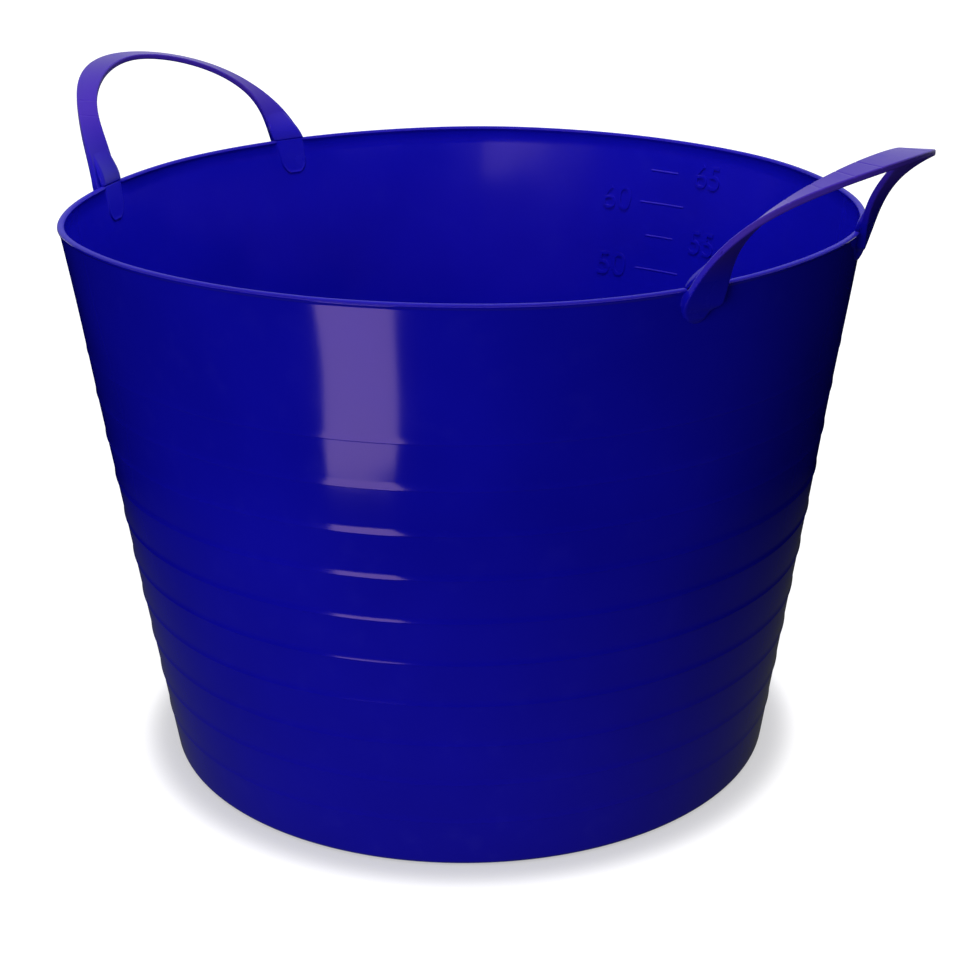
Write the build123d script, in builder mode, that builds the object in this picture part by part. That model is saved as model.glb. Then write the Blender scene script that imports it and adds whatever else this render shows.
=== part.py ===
"""Flexible two-handled tub, a soft plastic moulding.

Millimetres. The origin is on the ground under the middle of the base, +Z is up, and +X runs
out through the right-hand grip. The moulding is split where its section changes or where it
bends: base, ringed wall, plain wall, rim bead, four handle roots and two handle straps.
"""
import os
from math import asin, atan, cos, degrees, pi, sin

from build123d import *

# Tub shell
RIM_RADIUS = 270.0  # outside of the rim bead
TUB_HEIGHT = 390.0  # ground to the top of the rim
FOOT_RADIUS = 216.0  # outside of the wall, carried down to the ground
WALL = 2.8
FLOOR = 3.6
HEEL_RADIUS = 14.0  # outside corner between wall and ground

# Underside
FOOT_HEIGHT = 2.0  # how far the standing ring lifts the floor
FOOT_WIDTH = 13.0  # flat of the standing ring, in from the heel
FOOT_SLOPE = 4.0  # sloping inner side of the standing ring
GATE_RADIUS = 7.0  # moulding gate in the middle of the underside
GATE_HEIGHT = 1.0

# Rim bead
BEAD_PROUD = 3.2  # bead stands out from the wall
BEAD_HEIGHT = 4.8
BEAD_CROWN = 2.6  # rounded top of the bead

# Stiffening rings round the lower wall
RING_COUNT = 10
LOWEST_RING = 34.4  # ground to the lowest lip
PLAIN_BAND = 85.6  # top lip to the top of the rim
LIP_RAMP = 6.0  # height over which each lip flares out
LOW_LIP = 1.8  # lip of the lowest ring
HIGH_LIP = 0.8  # lip of the highest ring

# Handle roots
HANDLE_SPAN = 187.0  # between the middles of a handle's two roots
ROOT_WIDTH = 28.5
ROOT_DEPTH = 24.0  # root pad below the top of the rim
PAD_OUTSIDE = 8.2  # root pad outside the wall, at the rim
PAD_LEAN = 0.34  # the pad's outer face leans out by this share of its rise, so it thins downwards
PAD_INSIDE = 0.8  # root pad inside the wall
PAD_OVER = 1.2  # root pad over the top of the rim
PAD_ROUND = 2.4
PAD_STEP = 0.6  # the strap leaves the pad this far in from its outer face and sides
ROOT_STUB = 2.0  # root above the top of the rim
LEG_LEAN = 0.28  # the leg leans out of the tub by this share of its rise
LEG_TILT = 0.22  # and towards the middle of the handle by this one

# Handle straps
STRAP_START = 8.0  # the strap starts this far below the top of the rim
LEG_RISE = 19.0  # the leg leaves the root's line towards here above the rim
KNEE_SPREAD = -2.0  # knee control point: beyond the root, above the rim and out from the rim
KNEE_RISE = 41.0
KNEE_OUT = 0.5
GRIP_RISE = 67.5  # middle of the grip above the rim
GRIP_REACH = 57.0  # middle of the grip out from the rim
GRIP_FLAT = 63.0  # half length of the level stretch of the grip
WAIST_WIDTH = 14.6  # narrowest, halfway up each leg
GRIP_WIDTH = 22.0
GRIP_THICKNESS = 3.8
LEG_THICKNESS = 4.6  # at the root
STRAP_ROUND = 1.5
TURN_RATE = 3.0  # how soon the face of the strap turns to look up
STATIONS = (0.0, 0.1, 0.22, 0.36, 0.5, 0.65, 0.82, 1.0)  # sections from root to middle of grip

# Living fold between root and strap
FOLD_RADIUS = 8.0  # rounded foot of the strap
FOLD_LIFT = 1.0  # the foot turns clear of the rim
FOLD_GAP = 0.4  # between the foot and its socket

wall_slope = (RIM_RADIUS - BEAD_PROUD - FOOT_RADIUS) / TUB_HEIGHT
floor_top = FOOT_HEIGHT + FLOOR
bead_bottom = TUB_HEIGHT - BEAD_HEIGHT
highest_ring = TUB_HEIGHT - PLAIN_BAND
ring_pitch = (highest_ring - LOWEST_RING) / (RING_COUNT - 1)


def wall_radius(z):
    """Outside radius of the wall at height z, without the ring lips."""
    return FOOT_RADIUS + wall_slope * z


pad_radius = wall_radius(TUB_HEIGHT) + PAD_OUTSIDE
root_radius = pad_radius - PAD_STEP - LEG_THICKNESS / 2
root_angle = asin(HANDLE_SPAN / 2 / root_radius)
fold_rise = FOLD_LIFT + FOLD_RADIUS
fold_x = (root_radius + LEG_LEAN * fold_rise) * cos(root_angle) + LEG_TILT * fold_rise * sin(root_angle)
fold_z = TUB_HEIGHT + fold_rise


def band_outline(first_ring, last_ring, top):
    """Section of the wall from one ring's lip to a height, with a flared lip at each ring on the way."""
    outline = []
    for ring in range(first_ring, last_ring + 1):
        z = LOWEST_RING + ring * ring_pitch
        lip = LOW_LIP + (HIGH_LIP - LOW_LIP) * ring / (RING_COUNT - 1)
        if ring > first_ring:
            outline.append((wall_radius(z), z))
        outline.append((wall_radius(z) + lip, z))
        outline.append((wall_radius(z + LIP_RAMP), z + LIP_RAMP))
    bottom = LOWEST_RING + first_ring * ring_pitch
    outline.append((wall_radius(top), top))
    outline.append((wall_radius(top) - WALL, top))
    outline.append((wall_radius(bottom) - WALL, bottom))
    return outline


def strap_width(u):
    """Wide at the root, narrow at the waist halfway along the leg, wider again at the grip."""
    end = ROOT_WIDTH - 2 * PAD_STEP if u < 0.5 else GRIP_WIDTH
    return WAIST_WIDTH + (end - WAIST_WIDTH) * (1 + cos(2 * pi * u)) / 2


def strap_thickness(u):
    """A little thicker at the root than at the grip."""
    return GRIP_THICKNESS + (LEG_THICKNESS - GRIP_THICKNESS) * (1 - u) ** 2


def strap_plane(leg, u, side):
    """Plane across the strap, X to its outside edge. side is 1 on the rear leg and -1 on the front."""
    at = leg.position_at(u, position_mode=PositionMode.PARAMETER)
    along = leg.tangent_at(u, position_mode=PositionMode.PARAMETER)
    turn = pi / 2 * (1 - (1 - u) ** TURN_RATE)
    inward = Vector(-at.X, -at.Y, 0).normalized()
    face = inward * cos(turn) + Vector(0, 0, sin(turn))
    face = (face - along * face.dot(along)).normalized()
    across = face.cross(along)
    return Plane(
        (at.X, side * at.Y, at.Z),
        x_dir=(across.X, side * across.Y, across.Z),
        z_dir=(-side * along.X, -along.Y, -side * along.Z),
    )


def up_the_leg(rise):
    """Point on the middle line of the right handle's rear root, at a height above the rim."""
    outward = Vector(cos(root_angle), sin(root_angle), 0)
    middleward = Vector(sin(root_angle), -cos(root_angle), 0)
    rim_point = outward * root_radius + Vector(0, 0, TUB_HEIGHT)
    return rim_point + (outward * LEG_LEAN + middleward * LEG_TILT + Vector(0, 0, 1)) * rise


def root_pad(side):
    """Round-ended pad that carries the strap, on both sides of the wall. side is 1 at the rear, -1 in front."""
    low = TUB_HEIGHT - ROOT_DEPTH
    high = TUB_HEIGHT + PAD_OVER
    end_radius = ROOT_WIDTH / 2
    with BuildPart() as pad:
        with BuildSketch(Plane.YZ.rotated((0, 0, side * degrees(root_angle)))):
            with Locations(Location((0, TUB_HEIGHT, 0), (0, 0, side * degrees(atan(LEG_TILT))))):
                with Locations((0, end_radius - ROOT_DEPTH)):
                    Circle(end_radius)
                    Rectangle(ROOT_WIDTH, ROOT_DEPTH, align=(Align.CENTER, Align.MIN))
        extrude(amount=2 * pad_radius)
        with BuildSketch(Plane.XZ):
            with BuildLine():
                Polyline(
                    (wall_radius(low) - WALL - PAD_INSIDE, low),
                    (pad_radius - PAD_LEAN * (TUB_HEIGHT - low), low),
                    (pad_radius + PAD_LEAN * PAD_OVER, high),
                    (wall_radius(high) - WALL - PAD_INSIDE, high),
                    close=True,
                )
            make_face()
        revolve(axis=Axis.Z, mode=Mode.INTERSECT)
        outer_face = pad.faces().filter_by(GeomType.CONE).sort_by_distance((0, 0, TUB_HEIGHT))[-1]
        fillet(outer_face.edges().filter_by(lambda edge: edge.center().Z < bead_bottom), PAD_ROUND)
    return pad.part


def fold_zone(above):
    """Room above the fold line with the strap's round foot, or over the rim with the foot's socket."""
    span = 2 * RIM_RADIUS
    with BuildPart() as zone:
        with BuildSketch(Plane.XZ):
            if above:
                with Locations((fold_x, fold_z)):
                    Rectangle(span, span, align=(Align.CENTER, Align.MIN))
                    Circle(FOLD_RADIUS)
            else:
                with Locations((fold_x, TUB_HEIGHT + ROOT_STUB)):
                    Rectangle(span, span, align=(Align.CENTER, Align.MAX))
                with Locations((fold_x, fold_z)):
                    Circle(FOLD_RADIUS + FOLD_GAP, mode=Mode.SUBTRACT)
        extrude(amount=span, both=True)
    return zone.part


# Base: floor, heel, standing ring and moulding gate
with BuildPart() as base:
    foot_corner = FOOT_RADIUS - HEEL_RADIUS - FOOT_WIDTH
    inner_heel = (wall_radius(floor_top) - WALL, floor_top)
    with BuildSketch(Plane.XZ) as base_section:
        with BuildLine():
            Polyline(
                (0, FOOT_HEIGHT),
                (foot_corner - FOOT_SLOPE, FOOT_HEIGHT),
                (foot_corner, 0),
                (FOOT_RADIUS, 0),
                (wall_radius(LOWEST_RING), LOWEST_RING),
                (wall_radius(LOWEST_RING) - WALL, LOWEST_RING),
                inner_heel,
                (0, floor_top),
                close=True,
            )
        make_face()
        fillet(base_section.vertices().sort_by_distance((FOOT_RADIUS, 0))[0], HEEL_RADIUS)
        fillet(base_section.vertices().sort_by_distance(inner_heel)[0], HEEL_RADIUS - WALL)
    revolve(axis=Axis.Z)
    with BuildSketch(Plane.XY.offset(FOOT_HEIGHT)):
        Circle(GATE_RADIUS)
    extrude(amount=-GATE_HEIGHT)

# Ringed wall: every band but the top one
with BuildPart() as ringed_wall:
    with BuildSketch(Plane.XZ):
        with BuildLine():
            Polyline(*band_outline(0, RING_COUNT - 2, highest_ring), close=True)
        make_face()
    revolve(axis=Axis.Z)

# Rim bead: a round edge all the way round
with BuildPart() as rim_bead:
    bead_inside = wall_radius(TUB_HEIGHT) - WALL
    bead_shoulder = TUB_HEIGHT - BEAD_CROWN
    with BuildSketch(Plane.XZ):
        with BuildLine():
            Polyline(
                (bead_inside, bead_shoulder),
                (wall_radius(bead_bottom) - WALL, bead_bottom),
                (RIM_RADIUS, bead_bottom),
                (RIM_RADIUS, bead_shoulder),
            )
            ThreePointArc(
                (RIM_RADIUS, bead_shoulder),
                ((RIM_RADIUS + bead_inside) / 2, TUB_HEIGHT),
                (bead_inside, bead_shoulder),
            )
        make_face()
    revolve(axis=Axis.Z)

# Right handle in one length, turning from upright at its roots to flat at its grip
with BuildLine() as leg_line:
    Bezier(
        up_the_leg(-STRAP_START),
        up_the_leg(LEG_RISE),
        (RIM_RADIUS + KNEE_OUT, HANDLE_SPAN / 2 + KNEE_SPREAD, TUB_HEIGHT + KNEE_RISE),
        (RIM_RADIUS + GRIP_REACH, GRIP_FLAT, TUB_HEIGHT + GRIP_RISE),
        (RIM_RADIUS + GRIP_REACH, 0, TUB_HEIGHT + GRIP_RISE),
    )

with BuildPart() as whole_strap:
    front_leg = [(u, -1) for u in STATIONS]
    rear_leg = [(u, 1) for u in reversed(STATIONS[:-1])]
    for u, side in front_leg + rear_leg:
        with BuildSketch(strap_plane(leg_line.edge(), u, side)):
            RectangleRounded(strap_width(u), strap_thickness(u), STRAP_ROUND)
    loft()

# The fold line parts it into a moving strap and two fixed roots, which grip the rim
with BuildPart() as right_strap:
    add(whole_strap.part)
    add(fold_zone(above=True), mode=Mode.INTERSECT)

with BuildPart() as right_roots:
    add(whole_strap.part)
    add(root_pad(1))
    add(root_pad(-1))
    add(fold_zone(above=False), mode=Mode.INTERSECT)
    add(rim_bead.part, mode=Mode.SUBTRACT)

with BuildPart() as right_front_root:
    add(right_roots.solids().sort_by(Axis.Y)[0])

with BuildPart() as right_rear_root:
    add(right_roots.solids().sort_by(Axis.Y)[-1])

# The left handle is the right one turned round the tub
with BuildPart() as left_strap:
    add(right_strap.part, rotation=(0, 0, 180))

with BuildPart() as left_front_root:
    add(right_rear_root.part, rotation=(0, 0, 180))

with BuildPart() as left_rear_root:
    add(right_front_root.part, rotation=(0, 0, 180))

# Plain wall: the top band, with the roots let into it
with BuildPart() as plain_wall:
    with BuildSketch(Plane.XZ):
        with BuildLine():
            Polyline(*band_outline(RING_COUNT - 1, RING_COUNT - 1, bead_bottom), close=True)
        make_face()
    revolve(axis=Axis.Z)
    for root in (right_front_root, right_rear_root, left_front_root, left_rear_root):
        add(root.part, mode=Mode.SUBTRACT)

pieces = {
    "base": base,
    "ringed_wall": ringed_wall,
    "plain_wall": plain_wall,
    "rim_bead": rim_bead,
    "right_front_root": right_front_root,
    "right_rear_root": right_rear_root,
    "right_strap": right_strap,
    "left_front_root": left_front_root,
    "left_rear_root": left_rear_root,
    "left_strap": left_strap,
}
os.makedirs("parts", exist_ok=True)
for name, piece in pieces.items():
    piece.part.label = name
    export_step(piece.part, f"parts/{name}.step")
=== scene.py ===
"""Flexible two-handled tub: soft shapes, moulded marks, finish and studio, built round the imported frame.

Metres, in the frame's own axes: +Z up from the ground, +X out through the right-hand grip.
"""
import math

import bmesh
import bpy
import numpy as np
from bpy.props import FloatProperty, FloatVectorProperty, IntProperty, PointerProperty
from mathutils import Matrix, Vector


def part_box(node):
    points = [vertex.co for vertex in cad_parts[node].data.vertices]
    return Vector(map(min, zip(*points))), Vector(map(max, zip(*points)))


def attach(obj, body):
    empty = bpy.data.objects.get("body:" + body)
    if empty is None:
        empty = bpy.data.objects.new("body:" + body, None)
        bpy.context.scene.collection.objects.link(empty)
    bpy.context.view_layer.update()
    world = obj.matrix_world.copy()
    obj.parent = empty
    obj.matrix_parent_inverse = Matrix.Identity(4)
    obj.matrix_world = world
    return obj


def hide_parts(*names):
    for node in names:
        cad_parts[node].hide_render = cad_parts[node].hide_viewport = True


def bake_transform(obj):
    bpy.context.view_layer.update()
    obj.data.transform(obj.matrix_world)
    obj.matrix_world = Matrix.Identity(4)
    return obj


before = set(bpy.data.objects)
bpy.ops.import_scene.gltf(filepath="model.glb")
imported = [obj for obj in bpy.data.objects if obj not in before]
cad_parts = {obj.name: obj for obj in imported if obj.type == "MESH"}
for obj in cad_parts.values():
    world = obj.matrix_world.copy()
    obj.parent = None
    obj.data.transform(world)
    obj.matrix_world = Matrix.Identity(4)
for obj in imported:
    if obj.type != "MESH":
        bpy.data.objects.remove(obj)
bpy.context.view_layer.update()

bl_info = {
    "name": "Flexible tub",
    "version": (1, 0, 0),
    "blender": (4, 5, 0),
    "location": "View3D > Sidebar > Tub",
    "description": "Builds a soft moulded tub with two strap handles and its studio",
    "category": "Object",
}

# Places read from the frame
BEAD_LOW, BEAD_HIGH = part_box("rim_bead")
RIM_TOP = BEAD_HIGH.z
RING_LOW, RING_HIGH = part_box("ringed_wall")
BASE_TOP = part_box("base")[1]
WALL_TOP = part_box("plain_wall")[1]
WALL_SLOPE = (WALL_TOP.x - BASE_TOP.x) / (WALL_TOP.z - BASE_TOP.z)
SHELL_NODES = ("base", "ringed_wall", "plain_wall", "rim_bead")

# How the soft rim and wall have settled
RIM_SINK = -0.0009
RIM_WAVES = (  # count round the tub, height and lag in degrees
    (1, 0.0012, -34.1),
    (2, 0.00218, -122.7),
    (3, 0.0014, 56.9),
    (4, 0.00077, -23.0),
    (6, 0.0003, 29.8),
)
RIPPLES = ((3, 5, 0.7), (7, -9, 2.1), (13, 17, 0.0))  # count round the tub, turn up the wall and lag
SETTLED_ABOVE = 0.026  # above the rim, where nothing is moved any more
PULL_SPREAD = 0.28  # spread of the pull round the tub, in radians
AXIS_CLEAR = 0.1  # nearer to the tub's axis than this, nothing is moved outwards

# Rows of the shell's section
FLOOR_ROWS = (0.1, 0.35, 0.6, 0.85, 0.97)  # shares of the way from the middle to the heel
INNER_ROWS = 40
BEAD_ROWS = 25
BEAD_TURN = (1.22 * math.pi, -0.26 * math.pi)  # from the inner wall over the bead to the outer wall
BEAD_SQUARE = 0.8  # power that squares the bead a little, where 1 is round
ROW_STEP = 0.007  # between rows of the plain wall
BELOW_BEAD = 0.008  # first row of the plain wall
BELOW_LIP = 0.004  # first row under a lip
UNDER_BEAD = np.array([0.0002, 0.0010, 0.004])  # rows that keep the edge under the bead

# Root pads and straps of the handles
PAD_RINGS = 24
PAD_TIP = 0.06  # where the lowest ring of a pad lies, as a share of the rings
PAD_ARCH = (2.4, 0.55)  # powers of the pad's outline
PAD_SWING = 0.75 * math.pi  # turn of the curve that the pad follows sideways
PAD_THIN = 0.8  # share of its depth from which the pad thins out to nothing
STRAP_RINGS = 110

# Webs and bridges of the handles
FRONT_TO_REAR = np.array([1, -1, 1])
ACROSS_WEB = np.sin(np.linspace(-math.pi / 2, math.pi / 2, 29))  # shares of the half width
WEB_ROWS = 26
WEB_SUPPORT = (0.98, 0.996, 1)  # rows close to the web's upper end, which keep it even
WEB_SUNK = 0.0004  # how deep the edges of a web lie in the wall
WEB_BACK = 0.0008  # how deep the back of a web lies in the wall
BRIDGE_SHARE = 0.46  # half width of a bridge at the strap, as a share of the strap's width
BRIDGE_SUNK = 0.0003  # how deep a bridge ends in the strap's face
BRIDGE_BACK = 0.0026  # thickness of a bridge at its ends
BRIDGE_SWELL = 0.030  # how much it swells between them

# Litre scale
FONT_SIZE = 1.4  # size of the typeface for figures of height 1
RIB_ATTRIBUTES = (("across", "FLOAT_VECTOR"), ("face", "FLOAT_VECTOR"), ("reach", "FLOAT"))
RIB_PIECES = 8  # straight pieces in one mark
RIB_OVERLAP = 1.06  # length of a piece as a share of its step

# Stage
TRAY_SIDES = 64
OPEN_BACK = range(13, 32)  # sides that the dark tray doesn't have
TRAY_LIFT = 0.0005  # dark tray over the floor
NEAR_LIFT = 0.001  # dim disc over the floor
NEAR_FULL = 0.24  # radius from which the dim disc fades
NEAR_COLOUR = (0.058, 0.060, 0.045)
FLOOR_GLOW = ((0.042, -1.130, 0.02), (0.453, -1.020, 0.02), (0.229, -0.589, 0.02), (0.055, -0.632, 0.02))
WINDOW_GLOW = ((0.30, -1.80, 0.50), (1.05, -1.68, 0.50), (1.05, -1.68, 1.20), (0.30, -1.80, 1.20))
LAMPS = (  # name, stand, target, side, power and what it lights
    ("top_softbox", (0.0, 0.0, 1.7), (0, 0, 0.3), 0.5, 22.0, "tub"),
    ("mouth_softbox", (0.05, 0.0, 1.7), (0, 0, 0.3), 0.5, 16.0, "shell"),
    ("key_softbox", (0.52, -2.09, 0.66), (0, 0, 0.2), 1.2, 36.0, "tub"),
    ("side_softbox", (2.15, 0.40, 0.60), (0, 0, 0.2), 1.2, 2.0, "tub"),
    ("back_softbox", (-0.89, 1.90, 0.60), (0, 0, 0.2), 1.2, 20.0, "shell"),
    ("floor_wash", (0.0, 0.0, 3.0), (0, 0, 0), 14.0, 340.0, "floor"),
)


def length(name, description, default):
    """A size in metres that a user may change."""
    return FloatProperty(name=name, description=description, default=default, unit="LENGTH", precision=5)


def angle(name, description, degrees):
    """An angle that a user may change."""
    return FloatProperty(name=name, description=description, default=math.radians(degrees), subtype="ANGLE")


def share(name, description, default):
    """A plain number that a user may change."""
    return FloatProperty(name=name, description=description, default=default)


def place(name, description, default):
    """A point in metres that a user may change."""
    return FloatVectorProperty(
        name=name, description=description, default=default, unit="LENGTH", precision=5,
    )


def colour(name, description, default):
    """A linear colour that a user may change."""
    return FloatVectorProperty(
        name=name, description=description, default=default, subtype="COLOR", min=0, max=1,
    )


class TubShape(bpy.types.PropertyGroup):
    """Sizes of the moulded shell."""

    wall: length("Wall", "Thickness of the wall", 0.0028)
    floor: length("Floor", "Thickness of the floor", 0.0036)
    heel: length("Heel", "Outside radius between wall and ground", 0.005)
    foot_height: length("Foot height", "How far the standing ring lifts the floor", 0.002)
    foot_width: length("Foot width", "Flat of the standing ring, in from the heel", 0.013)
    foot_slope: length("Foot slope", "Sloping inner side of the standing ring", 0.004)
    gate_radius: length("Gate radius", "Moulding gate under the floor", 0.007)
    gate_height: length("Gate height", "How far the moulding gate stands down", 0.001)
    fuller_rim: length("Fuller rim", "How much fuller than drawn the wall stands at the rim", 0.0025)
    fuller_foot: length("Fuller foot", "How much fuller than drawn the wall stands at its foot", 0.0016)
    fuller_middle: length("Fuller middle", "How much fuller still the wall stands halfway up", 0.0005)
    bead_height: length("Bead height", "Height of the rim bead", 0.0031)
    bead_proud: length("Bead proud", "Rim bead proud of the wall, outside", 0.0007)
    bead_inside: length("Bead inside", "Rim bead proud of the wall, inside", 0.0011)
    rings: IntProperty(name="Rings", description="Stiffening rings round the wall", default=10)
    lip_ramp: length("Lip ramp", "Height over which each lip flares out", 0.0055)
    low_lip: length("Low lip", "Lip of the lowest ring", 0.0005)
    more_lip: length("More lip", "How much larger the lips are halfway up", 0.0003)
    high_lip: length("High lip", "Lip of the highest ring", 0.0003)
    lip_round: length("Lip round", "Rounding of each lip's edge", 0.0002)
    segments: IntProperty(name="Segments", description="Steps round the tub", default=312)
    bulge: length("Bulge", "How far the soft wall leans out on its left", 0.002)
    bulge_side: angle("Bulge side", "Where round the tub the wall leans out", 223.4)
    pull: length("Pull", "How far the left handle draws out the rim", 0.0022)
    pull_side: angle("Pull side", "Where round the tub the rim is drawn out", 192)
    ripple: length("Ripple", "Unevenness of the soft wall", 0.0002)


class HandleShape(bpy.types.PropertyGroup):
    """Sizes that both handles share."""

    leg_start: length("Leg start", "Where the leg's line starts, below the rim", 0.014)
    root_width: length("Root width", "Width of the strap at the rim", 0.0274)
    waist_width: length("Waist width", "Narrowest width, halfway up a leg", 0.0145)
    grip_width: length("Grip width", "Width at the middle of the grip", 0.0218)
    leg_thickness: length("Leg thickness", "Thickness at the rim", 0.0045)
    grip_thickness: length("Grip thickness", "Thickness at the middle of the grip", 0.0039)
    edge_round: length("Edge round", "Rounding of the strap's edges", 0.0010)
    pad_width: length("Pad width", "Width of the outer root pad at the rim", 0.0244)
    pad_depth: length("Pad depth", "Outer root pad below the rim", 0.0225)
    pad_drift: length("Pad drift", "How far the pad stands away from the handle's middle", 0.0050)
    pad_fade: share("Pad fade", "Share of its thickness that the pad loses towards its tip", 0.72)
    pad_round: length("Pad round", "Rounding of the pad's edges", 0.0020)
    pad_sunk: length("Pad sunk", "How deep the pad is let into the wall", 0.0012)
    pad_blend: length("Pad blend", "Below the rim, where the strap turns into the pad", 0.016)
    seat_rise: length("Seat rise", "Below the rim, where the strap starts to stand free of the wall", 0.004)
    web_half: length("Web half", "Half width of the web's round end", 0.0118)
    web_rim_half: length("Web rim half", "Half width of the web at the rim", 0.0126)
    web_depth: length("Web depth", "Web below the rim, inside", 0.028)
    web_drift: length("Web drift", "How far the web's end stands away from the handle's middle", 0.0033)
    web_proud: length("Web proud", "Web proud of the inner wall, at its round end", 0.0005)
    web_cover: length("Web cover", "Web proud of the inner wall, at the rim", 0.0004)
    web_flare: length("Web flare", "Height over which the web changes from its round end to the rim", 0.016)
    web_ridge: length("Web ridge", "Fine ridge round the web's end", 0.0003)
    web_round: length("Web round", "Rounding of the web's edges", 0.0022)
    web_foot: length("Web foot", "Below the rim, where the web ends and the bridge starts", 0.0003)
    web_rise: length("Web rise", "Above the rim, where the bridge runs out into the strap", 0.020)
    score_depth: length("Score depth", "Depth of the fine scores across the grip", 0.00022)
    score_width: length("Score width", "Width of the fine scores across the grip", 0.0006)


def bend_sizes(root_radius, half_span, lean, tilt, leg_rise, knee, grip, turn_rate, heading, scores):
    """Properties that say how one soft handle stands."""
    return {
        "root_radius": length("Root radius", "From the tub's axis to the strap at the rim", root_radius),
        "half_span": length("Half span", "From the middle of the handle to a root", half_span),
        "lean": share("Lean", "Share of its rise by which the leg leans out of the tub", lean),
        "tilt": share("Tilt", "Share of its rise by which the leg tilts to the handle's middle", tilt),
        "leg_rise": length("Leg rise", "Above the rim, where the leg leaves its first line", leg_rise),
        "knee": place("Knee", "Control point of the knee: out, along and above the rim", knee),
        "grip": place("Grip", "Grip: out, half its level length and above the rim", grip),
        "turn_rate": share("Turn rate", "How soon the strap's face turns to look up", turn_rate),
        "heading": angle("Heading", "Turn of the handle round the tub", heading),
        "scores": FloatVectorProperty(
            name="Scores", description="Share of the leg at each score, minus on the front leg",
            size=len(scores), default=scores,
        ),
    }


class RightBend(bpy.types.PropertyGroup):
    """How the right handle stands, a little more upright."""

    __annotations__ = bend_sizes(
        root_radius=0.2735, half_span=0.0932, lean=0.216, tilt=0.298, leg_rise=0.0219,
        knee=(0.2616, 0.0844, 0.0353), grip=(0.3210, 0.0759, 0.0668), turn_rate=2.76, heading=-0.45,
        scores=(-0.617, -0.719, -0.815, -0.892, 0.93),
    )


class LeftBend(bpy.types.PropertyGroup):
    """How the left handle stands, reaching further out."""

    __annotations__ = bend_sizes(
        root_radius=0.2750, half_span=0.0936, lean=0.173, tilt=0.414, leg_rise=0.0196,
        knee=(0.2787, 0.0994, 0.0461), grip=(0.3328, 0.0504, 0.0677), turn_rate=3.40, heading=0.45,
        scores=(0.444, 0.541),
    )


class LitreScale(bpy.types.PropertyGroup):
    """The moulded scale inside the wall."""

    top_mark: length("Top mark", "Height of the highest mark", 0.3645)
    middle: angle("Middle", "Where round the tub the scale stands", 91.95)
    marks: IntProperty(name="Marks", description="Number of marks", default=10)
    top_litres: IntProperty(name="Top litres", description="Litres at the highest mark", default=65)
    step_litres: IntProperty(name="Step litres", description="Litres between marks", default=5)
    top_step: length("Top step", "Highest step, the lower ones growing as the tub narrows", 0.0256)
    long_mark: length("Long mark", "Length of a ten litre mark", 0.0392)
    short_mark: length("Short mark", "Length of a mark between tens", 0.0244)
    rib: length("Rib", "Half width of a mark's rib", 0.0009)
    rib_flat: share("Rib flat", "Height of a mark's rib as a share of its half width", 0.20)
    figure: length("Figure", "Height of a figure", 0.0190)
    figure_proud: length("Figure proud", "How far a figure stands out of the wall", 0.0006)
    figure_gap: length("Figure gap", "From the middle of the scale to a figure", 0.041)


class TubFinish(bpy.types.PropertyGroup):
    """Colours and surface of the plastic."""

    blue: colour("Blue", "Body of the plastic", (0.0030, 0.0026, 0.285))
    scuffed: colour("Scuffed", "Where the plastic is rubbed", (0.030, 0.028, 0.340))
    sheen: colour("Sheen", "Tint of what the plastic reflects", (1.0, 0.60, 0.86))
    roughness: share("Roughness", "Roughness of the plastic as moulded", 0.11)
    gloss: share("Gloss", "Specular level of the plastic", 0.5)
    # Painted sheen: the handles' body is redder than the wall's, standing in for the purple sheen that
    # their grips reflect
    handle_blue: colour("Handle blue", "Body of the handles, paler from hands", (0.033, 0.014, 0.250))
    # Painted shade: the rim bead's body is darker than the wall's, to darken the rim where light and
    # reflection make it bright
    rim_blue: colour("Rim blue", "Body of the rim bead, a little dulled", (0.009, 0.006, 0.190))
    rim_gloss: share("Rim gloss", "Specular level of the rim bead", 0.04)
    root_roughness: share("Root roughness", "Roughness of the handles' roots", 0.28)
    handle_gloss: share("Handle gloss", "Specular level of the handles, dulled by hands", 0.18)
    handle_roughness: share("Handle roughness", "Roughness of the handles, dulled by hands", 0.42)
    grain: share("Grain", "Strength of the fine moulded grain", 0.02)


class Studio(bpy.types.PropertyGroup):
    """Camera, lamps and floor."""

    camera_place: place("Camera place", "Where the camera stands", (0.7960, -0.9736, 0.6674))
    camera_heading: angle("Camera heading", "Turn of the camera from +Y", 38.532)
    camera_pitch: angle("Camera pitch", "How far the camera looks down", 21.317)
    camera_roll: angle("Camera roll", "Tilt of the camera's horizon", -0.405)
    lens: share("Lens", "Focal length in millimetres on a 36 mm sensor", 68.55)
    floor_size: length("Floor size", "Width of the floor", 24.0)
    floor_tone: share("Floor tone", "Lightness of the floor where it is seen", 0.60)
    floor_bounce: share("Floor bounce", "Lightness of the floor in the light that it throws back", 0.20)
    floor_lift: share("Floor lift", "Light added where the floor is seen, to make it white", 0.80)
    shadow_lift: share("Shadow lift", "Light added where the tub stands close over the floor", 0.42)
    shadow_reach: length("Shadow reach", "How far the contact shadow reaches", 0.027)
    surround_radius: length("Surround radius", "Dark tray round the tub, which only its gloss shows", 3.0)
    surround_height: length("Surround height", "Height of the dark tray's front side", 0.70)
    near_floor: length("Near floor", "Reach of the floor beside the tub that its gloss shows", 0.62)
    room_light: share("Room light", "Even light from all round", 0.15)


def wall_radius(z):
    """Outside of the plain wall at a height."""
    shape = bpy.context.scene.tub_shape
    high = z / RIM_TOP
    fuller = shape.fuller_foot + (shape.fuller_rim - shape.fuller_foot) * high
    fuller += shape.fuller_middle * 4 * high * (1 - high)
    return BASE_TOP.x + WALL_SLOPE * (z - BASE_TOP.z) + fuller


def turn_points(centre, radius, start, end, count):
    """Points on an arc in the section, angles in degrees from outward towards up."""
    angles = np.radians(np.linspace(start, end, count))
    return [(centre[0] + radius * math.cos(a), centre[1] + radius * math.sin(a)) for a in angles]


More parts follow.
